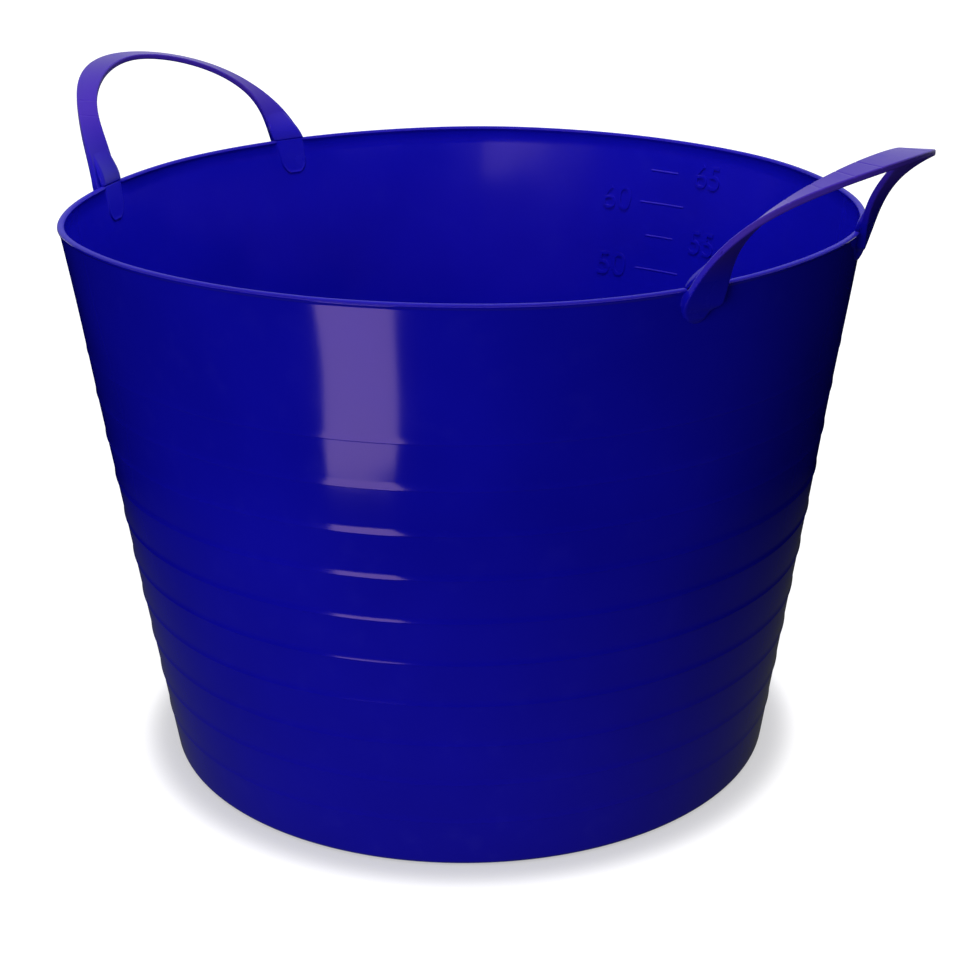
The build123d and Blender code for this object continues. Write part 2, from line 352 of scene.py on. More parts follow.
def turn_between(around, side):
    """Turn from a side of the tub to each angle, the shorter way round."""
    return np.angle(np.exp(1j * (around - side)))


def smooth(share_of_way):
    """Eases from 0 to 1."""
    x = np.clip(share_of_way, 0, 1)
    return x * x * (3 - 2 * x)


def settle(points):
    """Moves points of the wall and rim as the soft wall leans, waves and ripples."""
    shape = bpy.context.scene.tub_shape
    points = np.asarray(points, float)
    reach = np.hypot(points[:, 0], points[:, 1])
    around = np.arctan2(points[:, 1], points[:, 0])
    high = np.clip(points[:, 2] / RIM_TOP, 0, 1)
    lean = shape.bulge * np.clip(np.cos(around - shape.bulge_side), 0, 1) ** 4 * high
    wave = sum(np.sin(count * around + turn * high + lag) for count, turn, lag in RIPPLES)
    outward = lean + shape.ripple * wave * high
    fade = high ** 3 * (1 - smooth((points[:, 2] - RIM_TOP) / SETTLED_ABOVE))
    moved = points.copy()
    rise = sum(tall * np.cos(count * around - math.radians(lag)) for count, tall, lag in RIM_WAVES)
    moved[:, 2] += fade * (RIM_SINK + rise)
    pulled = np.exp(-0.5 * (turn_between(around, shape.pull_side) / PULL_SPREAD) ** 2)
    outward = outward + shape.pull * fade * pulled
    moved[:, :2] *= (1 + outward * (reach > AXIS_CLEAR) / np.maximum(reach, AXIS_CLEAR))[:, None]
    return moved


def mesh_piece(name, points, faces, material):
    """A smooth-shaded mesh object at the origin."""
    mesh = bpy.data.meshes.new(name)
    mesh.from_pydata([tuple(p) for p in points], [], faces)
    mesh.polygons.foreach_set("use_smooth", [True] * len(mesh.polygons))
    mesh.materials.append(material)
    mesh.validate()
    turned = bmesh.new()
    turned.from_mesh(mesh)
    bmesh.ops.recalc_face_normals(turned, faces=turned.faces)
    turned.to_mesh(mesh)
    turned.free()
    piece = bpy.data.objects.new(name, mesh)
    bpy.context.scene.collection.objects.link(piece)
    return piece


def ring_height(shape, ring):
    """Height of one ring's lip."""
    return RING_LOW.z + ring * (RING_HIGH.z - RING_LOW.z) / (shape.rings - 1)


def lip_points(shape, ring):
    """Outside of one ring, from the top of its flare down to the wall under its lip."""
    z = ring_height(shape, ring)
    high = ring / (shape.rings - 1)
    lip = shape.low_lip + (shape.high_lip - shape.low_lip) * high + shape.more_lip * 4 * high * (1 - high)
    soft = shape.lip_round
    points = []
    for s in np.linspace(1, 0, 9):
        height = z + soft + (shape.lip_ramp - soft) * s
        points.append((wall_radius(height) + lip * (1 - s) ** 2, height))
    tip = wall_radius(z + soft) + lip
    points += turn_points((tip - soft, z + soft), soft, -22, -90, 4)
    points.append((wall_radius(z) + 0.4 * soft, z))
    points += [(wall_radius(z - drop), z - drop) for drop in (0.5 * soft, 2 * soft, 6 * soft)]
    return points


def shell_profile(shape):
    """Half section of the tub, from the middle of the floor up inside, over the rim and down outside."""
    wall, heel = shape.wall, shape.heel
    floor_top = shape.foot_height + shape.floor
    lean = math.degrees(math.atan(WALL_SLOPE))
    half_turn = math.tan(math.radians(45 - lean / 2))
    inner_heel = heel - wall
    inner_corner = wall_radius(floor_top) - wall
    inner_centre = (inner_corner - inner_heel * half_turn, floor_top + inner_heel)

    # Floor and inside of the wall
    profile = [(0, floor_top)]
    profile += [(inner_centre[0] * s, floor_top) for s in FLOOR_ROWS]
    profile += turn_points(inner_centre, inner_heel, -90, -lean, 12)
    low, high = floor_top + 1.6 * inner_heel, RIM_TOP - 1.1 * shape.bead_height
    profile += [(wall_radius(z) - wall, z) for z in np.linspace(low, high, INNER_ROWS)]

    # Rim bead
    outside = wall_radius(RIM_TOP) + shape.bead_proud
    inside = wall_radius(RIM_TOP) - wall - shape.bead_inside
    across, tall = (outside - inside) / 2, shape.bead_height / 2
    for turn in np.linspace(*BEAD_TURN, BEAD_ROWS):
        bulge = math.copysign(abs(math.cos(turn)) ** BEAD_SQUARE, math.cos(turn))
        profile.append((inside + across * (1 + bulge), RIM_TOP - tall + tall * math.sin(turn)))
    under = RIM_TOP - shape.bead_height
    profile += [(wall_radius(z), z) for z in under - UNDER_BEAD]

    # Outside of the wall, ring by ring
    top = BEAD_LOW.z - BELOW_BEAD
    for ring in reversed(range(shape.rings)):
        flare_top = ring_height(shape, ring) + shape.lip_ramp
        rows = max(2, round((top - flare_top) / ROW_STEP))
        profile += [(wall_radius(z), z) for z in np.linspace(top, flare_top, rows, endpoint=False)]
        profile += lip_points(shape, ring)
        top = ring_height(shape, ring) - BELOW_LIP

    # Heel, standing ring and moulding gate
    outer_corner = wall_radius(0)
    outer_centre = (outer_corner - heel * half_turn, heel)
    profile += [(wall_radius(z), z) for z in np.linspace(top, 1.3 * heel, 4)]
    profile += turn_points(outer_centre, heel, -lean, -90, 14)
    foot = outer_corner - heel - shape.foot_width
    profile += [(foot + 0.5 * shape.foot_width, 0), (foot, 0)]
    profile += [(foot - shape.foot_slope, shape.foot_height), (0.5 * foot, shape.foot_height)]
    gate = shape.foot_height - shape.gate_height
    profile += [(shape.gate_radius, shape.foot_height), (shape.gate_radius, gate), (0, gate)]
    return profile


def spin_mesh(profile, segments):
    """Points and faces of a section turned round the tub's axis, closed at both ends."""
    turns = np.linspace(0, 2 * math.pi, segments, endpoint=False)
    around = np.stack([np.cos(turns), np.sin(turns)], 1)
    points = [np.array([[0, 0, profile[0][1]]])]
    for r, z in profile[1:-1]:
        points.append(np.column_stack([r * around, np.full(segments, z)]))
    points.append(np.array([[0, 0, profile[-1][1]]]))
    rows = len(profile) - 2
    last = 1 + rows * segments
    faces = []
    for j in range(segments):
        k = (j + 1) % segments
        faces.append((0, 1 + j, 1 + k))
        for i in range(rows - 1):
            a = 1 + i * segments
            faces.append((a + j, a + segments + j, a + segments + k, a + k))
        a = last - segments
        faces.append((a + j, last, a + k))
    return np.concatenate(points), faces


def end_bead_at_roots(points, shape, handle, bends):
    """Takes the rim bead's inner side back to the wall where a root's web runs over the rim."""
    moved = points.copy()
    reach = np.hypot(points[:, 0], points[:, 1])
    around = np.arctan2(points[:, 1], points[:, 0])
    inside = wall_radius(RIM_TOP) - shape.wall
    bead = (points[:, 2] > RIM_TOP - 1.5 * shape.bead_height) & (reach < inside)
    cut, fade = 0.7 * handle.web_rim_half, 0.4 * handle.web_rim_half
    for bend, half_turns in bends:
        for side in (1, -1):
            root = bend.heading + math.pi * half_turns + side * root_angle(bend)
            away = np.abs(turn_between(around, root)) * inside
            near = 1 - smooth((away - cut) / fade)
            share_in = np.where(bead, near * (inside - reach) / np.maximum(reach, AXIS_CLEAR), 0)
            moved[:, :2] *= (1 + share_in)[:, None]
    return moved


def round_the_tub(radius, around, z):
    """Points from radii, angles and heights."""
    return np.column_stack(np.broadcast_arrays(radius * np.cos(around), radius * np.sin(around), z))


def root_angle(bend):
    """Where round the tub the rear root stands."""
    return math.asin(bend.half_span / bend.root_radius)


def leg_curve(handle, bend):
    """Control points of the middle line of the right handle's rear leg."""
    turn = root_angle(bend)
    outward = np.array([math.cos(turn), math.sin(turn), 0])
    middleward = np.array([math.sin(turn), -math.cos(turn), 0])
    up = np.array([0, 0, 1])
    climb = outward * bend.lean + middleward * bend.tilt + up
    root = outward * bend.root_radius + up * RIM_TOP
    grip_x, grip_flat, grip_rise = bend.grip
    return np.array([
        root - climb * handle.leg_start,
        root + climb * bend.leg_rise,
        np.array(bend.knee) + up * RIM_TOP,
        (grip_x, grip_flat, RIM_TOP + grip_rise),
        (grip_x, 0, RIM_TOP + grip_rise),
    ])


def bezier(control, u):
    """Point and unit direction on a Bezier curve."""
    points = np.array(control, float)
    while len(points) > 2:
        points = points[:-1] + (points[1:] - points[:-1]) * u
    along = points[1] - points[0]
    return points[0] + along * u, along / np.linalg.norm(along)


def leg_speed(control, u):
    """How fast the leg's middle line runs at u: metres for each 1 of u."""
    near = 0.01
    return np.linalg.norm(bezier(control, u + near)[0] - bezier(control, u - near)[0]) / (2 * near)


def leg_station(control, rise):
    """Share of the leg at which its middle line is at a height above the rim."""
    low, high = 0.0, 0.5
    for _ in range(30):
        middle = (low + high) / 2
        if bezier(control, middle)[0][2] < RIM_TOP + rise:
            low = middle
        else:
            high = middle
    return low


def strap_frame(control, turn_rate, u):
    """Middle, direction, across and face of the strap: across points to its outside edge."""
    at, along = bezier(control, u)
    turn = math.pi / 2 * (1 - (1 - u) ** turn_rate)
    inward = np.array([-at[0], -at[1], 0]) / math.hypot(at[0], at[1])
    face = inward * math.cos(turn) + np.array([0, 0, math.sin(turn)])
    face -= along * face.dot(along)
    face /= np.linalg.norm(face)
    return at, along, np.cross(face, along), face


def strap_width(handle, u):
    """Wide at the root, narrow at the waist, wider again at the grip."""
    end = handle.root_width if u < 0.5 else handle.grip_width
    return handle.waist_width + (end - handle.waist_width) * (1 + math.cos(2 * math.pi * u)) / 2


def strap_thickness(handle, u):
    """A little thicker at the root than at the grip."""
    return handle.grip_thickness + (handle.leg_thickness - handle.grip_thickness) * (1 - u) ** 2


def rounded_section(half_width, half_thickness, soft):
    """Closed outline of the strap, with support points beside its rounded edges."""
    soft = min(soft, 0.95 * half_width, 0.95 * half_thickness)
    flat = half_width - soft
    side = half_thickness - soft
    outline = []
    for quarter in range(4):
        middle = (flat if quarter in (0, 3) else -flat, side if quarter < 2 else -side)
        outline += turn_points(middle, soft, 90 * quarter, 90 * quarter + 90, 6)
        sign = 1 if quarter < 2 else -1
        if quarter % 2 == 0:
            outline += [(sign * flat * s, sign * (side + soft)) for s in (0.92, 0.5, 0, -0.5, -0.92)]
        else:
            outline += [(-sign * half_width, sign * side * s) for s in (0.6, 0, -0.6)]
    return np.array(outline)


def strap_ring(handle, bend, control, u, dent=0.0):
    """Outline of the strap at a share of the leg, its upper face let down by a dent."""
    at, _, across, face = strap_frame(control, bend.turn_rate, u)
    thick = strap_thickness(handle, u) / 2
    outline = rounded_section(strap_width(handle, u) / 2, thick, handle.edge_round)
    lift = outline[:, 1] - dent * (outline[:, 1] > 0.6 * thick)
    return at + np.outer(outline[:, 0], across) + np.outer(lift, face)


def pad_ring(handle, bend, rise):
    """Level outline of the outer root pad below the rim, narrowing and thinning to a leaf-shaped tip."""
    x = -rise / handle.pad_depth
    full, blunt = PAD_ARCH
    half = handle.pad_width / 2 * (1 - x ** full) ** blunt
    outside = wall_radius(RIM_TOP + rise)
    at_rim = bend.root_radius + handle.leg_thickness / 2 - wall_radius(RIM_TOP)
    thin_out = max(0.0, (x - PAD_THIN) / (1 - PAD_THIN))
    proud = at_rim * (1 - handle.pad_fade * x) * math.sqrt(1 - thin_out ** 2)
    thick = proud + handle.pad_sunk
    outline = rounded_section(half, thick / 2, handle.pad_round)
    drift = handle.pad_drift * math.sin(PAD_SWING * x)
    around = root_angle(bend) + (drift + outline[:, 0]) / outside
    return round_the_tub(outside + proud - thick / 2 - outline[:, 1], around, RIM_TOP + rise)


def seat(handle, ring, rim):
    """The ring with its inner side let into the wall, up to the height of the rim.

    The same points on a plain square outline tell which of them are on the inner side.
    """
    inner_side = rounded_section(1.0, 1.0, 0.5)[:, 1] > 0.2
    reach = np.hypot(ring[:, 0], ring[:, 1])
    deep = np.array([wall_radius(min(z, RIM_TOP)) for z in ring[:, 2]]) - handle.pad_sunk
    hold = 1 - smooth(1 + (ring[:, 2] - rim) / handle.seat_rise)
    pull = np.where(inner_side, hold * np.minimum(0, deep - reach), 0)
    return ring * np.column_stack([1 + pull / reach, 1 + pull / reach, np.ones(len(ring))])


def leg_rings(handle, bend, scores, rim):
    """Outlines from the tip of the rear root pad up to the middle of the grip, scored across the grip."""
    control = leg_curve(handle, bend)
    rings = []
    for step in np.linspace(PAD_TIP, 1, PAD_RINGS, endpoint=False):
        rise = -handle.pad_depth * (1 - step ** 2)
        ring = pad_ring(handle, bend, rise)
        climb = smooth(1.5 * (1 + rise / handle.pad_blend))
        if climb > 0:
            above = strap_ring(handle, bend, control, leg_station(control, rise))
            ring = ring + (above - ring) * climb
        rings.append(seat(handle, ring, rim))
    speeds = [leg_speed(control, u) for u in scores]
    stations = list(np.linspace(leg_station(control, 0.0), 1, STRAP_RINGS))
    for u, speed in zip(scores, speeds):
        stations += list(u + np.linspace(-2, 2, 9) * handle.score_width / speed)
    for u in sorted(stations):
        dents = [math.exp(-((u - s) * speed / handle.score_width) ** 2) for s, speed in zip(scores, speeds)]
        ring = strap_ring(handle, bend, control, u, handle.score_depth * sum(dents))
        rings.append(seat(handle, ring, rim))
    return rings


def web_rows(shape, handle, bend, stand):
    """Front and back rows of a root's web, from its round end up the inner wall.

    stand takes points of the right handle's rear leg to where this leg stands.
    """
    turn = root_angle(bend)
    ridge_in, ridge_wide = 0.7 * handle.web_round, 0.4 * handle.web_round
    front, back = [], []
    for step in (*np.linspace(0, 1, WEB_ROWS, endpoint=False), *WEB_SUPPORT):
        rise = -handle.web_depth + (handle.web_depth - handle.web_foot) * step ** 2
        widen = smooth(1 + (rise + handle.web_foot) / handle.web_flare)
        below = max(0.0, -rise - (handle.web_depth - handle.web_half))
        half = handle.web_half + (handle.web_rim_half - handle.web_half) * widen
        half = math.sqrt(max(half ** 2 - below ** 2, 1e-7))
        inside = wall_radius(RIM_TOP + rise) - shape.wall
        edge = np.minimum(half * (1 - np.abs(ACROSS_WEB)), rise + handle.web_depth)
        stands = handle.web_proud + (handle.web_cover - handle.web_proud) * widen
        proud = (stands + WEB_SUNK) * smooth(edge / handle.web_round) - WEB_SUNK
        ridge = np.exp(-((edge - ridge_in) / ridge_wide) ** 2)
        proud = proud + handle.web_ridge * (1 - widen) * ridge
        around = turn + (handle.web_drift * -rise / handle.web_depth + half * ACROSS_WEB) / inside
        front.append(settle(stand(round_the_tub(inside - proud, around, RIM_TOP + rise))))
        back.append(settle(stand(round_the_tub(inside + WEB_BACK, around, RIM_TOP + rise))))
    return front, back


def bridge_rows(shape, handle, bend, stand):
    """Front and back rows of the bridge that runs on from a root's web, over the rim to the strap."""
    control = leg_curve(handle, bend)
    turn = root_angle(bend)
    u = leg_station(control, handle.web_rise)
    at, along, across, face = strap_frame(control, bend.turn_rate, u)
    end = at + np.outer(BRIDGE_SHARE * strap_width(handle, u) * ACROSS_WEB, across)
    end = stand(end + face * (strap_thickness(handle, u) / 2 - BRIDGE_SUNK))
    inside = wall_radius(RIM_TOP - handle.web_foot) - shape.wall - handle.web_cover
    drift = handle.web_drift * handle.web_foot / handle.web_depth
    around = turn + (drift + handle.web_rim_half * ACROSS_WEB) / inside
    start = settle(stand(round_the_tub(inside, around, RIM_TOP - handle.web_foot)))
    outward = np.array([math.cos(turn), math.sin(turn), 0])
    sideways = np.array([-math.sin(turn), math.cos(turn), 0])
    at_rim = strap_frame(control, bend.turn_rate, leg_station(control, 0.0))[1]
    up_wall = outward * WALL_SLOPE + np.array([0, 0, 1]) + sideways * (at_rim @ sideways) / at_rim[2]
    along, outward, up_wall = stand(along), stand(outward), stand(up_wall)
    reach = np.linalg.norm(end - start, axis=1)[:, None]
    edge = handle.web_rim_half * (1 - np.abs(ACROSS_WEB))
    drop = (handle.web_cover + WEB_SUNK) * (1 - smooth(edge / handle.web_round))
    front, back = [], []
    for q in np.linspace(0, 1, WEB_ROWS):
        row = start * (2 * q ** 3 - 3 * q ** 2 + 1) + up_wall * reach * (q ** 3 - 2 * q ** 2 + q)
        row += end * (3 * q ** 2 - 2 * q ** 3) + along * reach * (q ** 3 - q ** 2)
        front.append(row + np.outer(drop, outward))
        back.append(row + outward * (BRIDGE_BACK + BRIDGE_SWELL * q * (1 - q) ** 2))
    return front, back


def sheet_mesh(front, back):
    """Points and faces of a closed body between rows of points in front and behind."""
    count = len(front[0])
    points = np.concatenate(front + back)
    shift = count * len(front)
    faces = []
    for i in range(len(front) - 1):
        for j in range(count - 1):
            a = i * count + j
            face = (a, a + 1, a + count + 1, a + count)
            faces.append(face)
            faces.append(tuple(reversed([k + shift for k in face])))
    last = (len(front) - 1) * count
    outline = list(range(count))
    outline += [i * count + count - 1 for i in range(1, len(front))]
    outline += [last + j for j in reversed(range(count - 1))]
    outline += [i * count for i in reversed(range(1, len(front) - 1))]
    for a, b in zip(outline, outline[1:] + outline[:1]):
        faces.append((b, a, a + shift, b + shift))
    return points, faces


def tube_mesh(rings):
    """Points and faces of a closed tube through rings of points."""
    count = len(rings[0])
    faces = [tuple(reversed(range(count)))]
    for i in range(len(rings) - 1):
        for j in range(count):
            k = (j + 1) % count
            a, b = i * count, (i + 1) * count
            faces.append((a + j, a + k, b + k, b + j))
    faces.append(tuple((len(rings) - 1) * count + j for j in range(count)))
    return np.concatenate(rings), faces


def stand_legs(bend, half_turns):
    """Functions that take points of the right handle's rear leg to a handle's rear and front legs."""
    turn = bend.heading + math.pi * half_turns
    cos, sin = math.cos(turn), math.sin(turn)

    def stand_rear(points):
        return np.asarray(points) @ np.array([[cos, sin, 0], [-sin, cos, 0], [0, 0, 1]])

    def stand_front(points):
        return stand_rear(np.asarray(points) * FRONT_TO_REAR)

    return stand_rear, stand_front


def handle_mesh(shape, handle, bend, half_turns):
    """Points and faces of one handle with its outer root pads and bridges, where it stands."""
    at_rim = round_the_tub(wall_radius(RIM_TOP), np.array([root_angle(bend)]), RIM_TOP)
    rear_rim, front_rim = [settle(stand(at_rim))[0][2] for stand in stand_legs(bend, half_turns)]
    front = leg_rings(handle, bend, [-s for s in bend.scores if s < 0], front_rim)
    rear = leg_rings(handle, bend, [s for s in bend.scores if s > 0], rear_rim)
    points, faces = tube_mesh([ring * FRONT_TO_REAR for ring in front] + rear[-2::-1])
    points = stand_legs(bend, half_turns)[0](points)
    with_wall = 1 - smooth(1 + (points[:, 2] - RIM_TOP) / handle.pad_blend)
    points = points + (settle(points) - points) * with_wall[:, None]
    return add_sheets(points, faces, bridge_rows, shape, handle, bend, half_turns)


def add_sheets(points, faces, rows, shape, handle, bend, half_turns):
    """Points and faces with a closed sheet added at each leg. rows is the function that gives its rows."""
    for stand in stand_legs(bend, half_turns):
        sheet_points, sheet_faces = sheet_mesh(*rows(shape, handle, bend, stand))
        faces = faces + [tuple(i + len(points) for i in face) for face in sheet_faces]
        points = np.concatenate([points, sheet_points])
    return points, faces


def webs_mesh(shape, handle, bend, half_turns):
    """Points and faces of the two webs of one handle, where they stand."""
    return add_sheets(np.zeros((0, 3)), [], web_rows, shape, handle, bend, half_turns)


def feed(tree, node, inputs):
    """Sets inputs of a node to values, or links them to outputs of other nodes."""
    for key, value in dict(inputs).items():
        if isinstance(value, bpy.types.NodeSocket):
            tree.links.new(value, node.inputs[key])
        else:
            node.inputs[key].default_value = value


def add_node(tree, kind, inputs=(), **settings):
    """A new node with its settings and inputs."""
    node = tree.nodes.new(kind)
    for key, value in settings.items():
        setattr(node, key, value)
    feed(tree, node, inputs)
    return node


def map_range(tree, value, low, high, to_low, to_high):
    """A value taken from one range to another and held at its ends."""
    ends = {"From Min": low, "From Max": high, "To Min": to_low, "To Max": to_high}
    return add_node(tree, "ShaderNodeMapRange", {"Value": value, **ends}).outputs["Result"]


def work_out(tree, operation, *values):
    """The result of a Math node."""
    return add_node(tree, "ShaderNodeMath", enumerate(values), operation=operation).outputs["Value"]


def mix_colours(tree, factor, first, second, blend_type="MIX"):
    """The result of two colours mixed."""
    inputs = {"Factor": factor, "A": first, "B": second}
    mix = add_node(tree, "ShaderNodeMix", inputs, data_type="RGBA", blend_type=blend_type)
    return mix.outputs["Result"]


def new_material(name):
    """A material and its nodes."""
    material = bpy.data.materials.new(name)
    material.use_nodes = True
    return material, material.node_tree


def rib_tree(material, name):
    """Geometry nodes that lay a half-sunk round bar on every point, along the point's own direction.

    Gives the tree and the identifiers of its inputs for the bar's radius and flatness.
    """
    tree = bpy.data.node_groups.new(name, "GeometryNodeTree")
    tree.interface.new_socket("Geometry", in_out="INPUT", socket_type="NodeSocketGeometry")
    size_keys = []
    for size in ("Radius", "Flatness"):
        socket = tree.interface.new_socket(size, in_out="INPUT", socket_type="NodeSocketFloat")
        size_keys.append(socket.identifier)
    tree.interface.new_socket("Geometry", in_out="OUTPUT", socket_type="NodeSocketGeometry")
    given = add_node(tree, "NodeGroupInput").outputs
    line = add_node(tree, "GeometryNodeCurvePrimitiveLine", {"Start": (-0.5, 0, 0), "End": (0.5, 0, 0)})
    ring = add_node(tree, "GeometryNodeCurvePrimitiveCircle", {"Resolution": 10, "Radius": given["Radius"]})
    bar = add_node(tree, "GeometryNodeCurveToMesh", {
        "Curve": line.outputs["Curve"],
        "Profile Curve": ring.outputs["Curve"],
        "Fill Caps": True,
    })
    own = []
    for key, kind in RIB_ATTRIBUTES:
        attribute = add_node(tree, "GeometryNodeInputNamedAttribute", {"Name": key}, data_type=kind)
        own.append(attribute.outputs["Attribute"])
    across, face, reach = own
    axes = {"Primary Axis": across, "Secondary Axis": face}
    turn = add_node(tree, "FunctionNodeAxesToRotation", axes, primary_axis="X", secondary_axis="Z")
    scale = add_node(tree, "ShaderNodeCombineXYZ", {"X": reach, "Y": 1, "Z": given["Flatness"]})
    laid = add_node(tree, "GeometryNodeInstanceOnPoints", {
        "Points": given["Geometry"],
        "Instance": bar.outputs["Mesh"],
        "Rotation": turn.outputs["Rotation"],
        "Scale": scale.outputs["Vector"],
    })
    real = add_node(tree, "GeometryNodeRealizeInstances", {"Geometry": laid.outputs["Instances"]})
    painted = add_node(tree, "GeometryNodeSetMaterial", {
        "Geometry": real.outputs["Geometry"],
        "Material": material,
    })
    add_node(tree, "NodeGroupOutput", {"Geometry": painted.outputs["Geometry"]})
    return tree, size_keys


def rib_piece(name, places, radius, flat, material):
    """A plain mesh of ribs laid by geometry nodes. places holds (point, across, face, length)."""
    seeds = bpy.data.meshes.new(name + "_seeds")
    seeds.from_pydata([tuple(p[0]) for p in places], [], [])
    for column, (key, kind) in enumerate(RIB_ATTRIBUTES, 1):
        attribute = seeds.attributes.new(key, kind, "POINT")
        values = np.array([p[column] for p in places], np.float32).ravel()
        attribute.data.foreach_set("vector" if kind == "FLOAT_VECTOR" else "value", values)
    carrier = bpy.data.objects.new(name + "_seeds", seeds)
    bpy.context.scene.collection.objects.link(carrier)
    tree, size_keys = rib_tree(material, name + "_ribs")
    layer = carrier.modifiers.new("ribs", "NODES")
    layer.node_group = tree
    for key, size in zip(size_keys, (radius, flat)):
        layer[key] = size
    graph = bpy.context.evaluated_depsgraph_get()
    mesh = bpy.data.meshes.new_from_object(carrier.evaluated_get(graph))
    bpy.data.objects.remove(carrier)
    mesh.name = name
    mesh.polygons.foreach_set("use_smooth", [True] * len(mesh.polygons))
    piece = bpy.data.objects.new(name, mesh)
    bpy.context.scene.collection.objects.link(piece)
    return piece


def on_inner_wall(shape, around, z):
    """Point on the inner wall, the direction round it and the direction into the tub."""
    lean = math.atan(WALL_SLOPE)
    out = np.array([math.cos(around), math.sin(around), 0])
    point = settle([out * (wall_radius(z) - shape.wall) + np.array([0, 0, z])])[0]
    face = -out * math.cos(lean) + np.array([0, 0, math.sin(lean)])
    return point, np.array([-out[1], out[0], 0]), face


def litre_marks(shape, scale):
    """Litres and height of each mark, the steps growing as the tub narrows."""
    z = scale.top_mark
    widest = wall_radius(z) - shape.wall
    marks = []
    for index in range(scale.marks):
        marks.append((scale.top_litres - index * scale.step_litres, z))
        z -= scale.top_step * (widest / (wall_radius(z) - shape.wall)) ** 2
    return marks


def surface_group():
    """Shared look of the moulded plastic: tone, roughness, height and scuffs that change over it."""
    tree = bpy.data.node_groups.new("moulded_surface", "ShaderNodeTree")
    sizes = {"Grain Scale": 900.0, "Cloud Scale": 7.0, "Scuff Scale": 55.0, "Scuff Amount": 0.1}
    for name, default in sizes.items():
        socket = tree.interface.new_socket(name, in_out="INPUT", socket_type="NodeSocketFloat")
        socket.default_value = default
    for name in ("Tone", "Roughness Shift", "Height", "Scuff"):
        tree.interface.new_socket(name, in_out="OUTPUT", socket_type="NodeSocketFloat")
    given = add_node(tree, "NodeGroupInput").outputs
    position = add_node(tree, "ShaderNodeTexCoord").outputs["Object"]

    def noise(scale_name, detail):
        inputs = {"Vector": position, "Scale": given[scale_name], "Detail": detail}
        return add_node(tree, "ShaderNodeTexNoise", inputs).outputs["Fac"]

    clouds = noise("Cloud Scale", 3.0)
    patches = map_range(tree, noise("Scuff Scale", 9.0), 0.56, 0.72, 0, 1)
    add_node(tree, "NodeGroupOutput", {
        "Tone": map_range(tree, clouds, 0.3, 0.7, 0.90, 1.10),
        "Roughness Shift": map_range(tree, clouds, 0.3, 0.7, -0.03, 0.04),
        "Height": noise("Grain Scale", 2.0),
        "Scuff": work_out(tree, "MULTIPLY", patches, given["Scuff Amount"]),
    })
    return tree


def plastic(name, group, body, gloss, roughness, scuffs, top=None):
    """The blue plastic. scuffs holds two heights in the frame and the share of scuffs at each.

    top holds two heights, and the colour and roughness that the plastic has at the upper one.
    """
    finish = bpy.context.scene.tub_finish
    material, tree = new_material(name)
    position = add_node(tree, "ShaderNodeTexCoord").outputs["Object"]
    height = add_node(tree, "ShaderNodeSeparateXYZ", {"Vector": position}).outputs["Z"]
    rub = {"Scuff Amount": map_range(tree, height, *scuffs)}
    surface = add_node(tree, "ShaderNodeGroup", rub, node_tree=group).outputs
    body = (*body, 1)
    # The handles use top for their painted sheen, a redder body higher up
    if top:
        low, high, top_body, top_roughness = top
        body = mix_colours(tree, map_range(tree, height, low, high, 0, 1), body, (*top_body, 1))
        roughness = map_range(tree, height, low, high, roughness, top_roughness)
    toned = mix_colours(tree, 1.0, body, surface["Tone"], "MULTIPLY")
    uneven = work_out(tree, "ADD", surface["Roughness Shift"], roughness)
    rougher_scuff = 0.25
    grain_depth = 0.0004
    grain = add_node(tree, "ShaderNodeBump", {
        "Strength": finish.grain,
        "Distance": grain_depth,
        "Height": surface["Height"],
    })
    feed(tree, tree.nodes["Principled BSDF"], {
        "Base Color": mix_colours(tree, surface["Scuff"], toned, (*finish.scuffed, 1)),
        "Roughness": work_out(tree, "MULTIPLY_ADD", surface["Scuff"], rougher_scuff, uneven),
        "IOR": 1.5,
        "Specular IOR Level": gloss,
        "Specular Tint": (*finish.sheen, 1),
        "Normal": grain.outputs["Normal"],
    })
    return material


def tub_materials():
    """The plastic of the wall, the rim and the handles, made once."""
    if "wall_plastic" not in bpy.data.materials:
        finish = bpy.context.scene.tub_finish
        group = surface_group()
        worn_foot = (0.0, 0.04, 0.10, 0.03)
        worn_grip = (RIM_TOP, RIM_TOP + 0.06, 0.05, 0.20)
        # Painted sheen: above the rim the handles fade from the wall's blue to their redder body
        grip = (RIM_TOP + 0.004, RIM_TOP + 0.040, finish.handle_blue, finish.handle_roughness)
        for name, *look in (
            ("wall", finish.blue, finish.gloss, finish.roughness, worn_foot),
            # The rim takes the darker body, a painted shade
            ("rim", finish.rim_blue, finish.rim_gloss, finish.handle_roughness, worn_foot),
            ("handle", finish.blue, finish.handle_gloss, finish.root_roughness, worn_grip, grip),
        ):
            plastic(name + "_plastic", group, *look)
    return [bpy.data.materials[name + "_plastic"] for name in ("wall", "rim", "handle")]


def bends_by_side(scene):
    """How each handle stands, and the half turns that take it from the right to its own side."""
    return {"right": (scene.tub_right_bend, 0), "left": (scene.tub_left_bend, 1)}


class TUB_OT_shell(bpy.types.Operator):
    """Moulds the floor, ringed wall and rim as one skin"""

    bl_idname = "tub.shell"
    bl_label = "Shell"

    def execute(self, context):
        scene = context.scene
        shape = scene.tub_shape
        points, faces = spin_mesh(shell_profile(shape), shape.segments)
        bead_from = RIM_TOP - 0.4 * shape.bead_height
        on_bead = [min(points[i][2] for i in face) > bead_from for face in faces]
        points = end_bead_at_roots(points, shape, scene.tub_handle, bends_by_side(scene).values())
        wall_material, rim_material, _ = tub_materials()
        shell = mesh_piece("tub_shell", settle(points), faces, wall_material)
        shell.data.materials.append(rim_material)
        shell.data.polygons.foreach_set("material_index", [int(bead) for bead in on_bead])
        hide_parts(*SHELL_NODES)
        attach(shell, "tub")
        return {"FINISHED"}


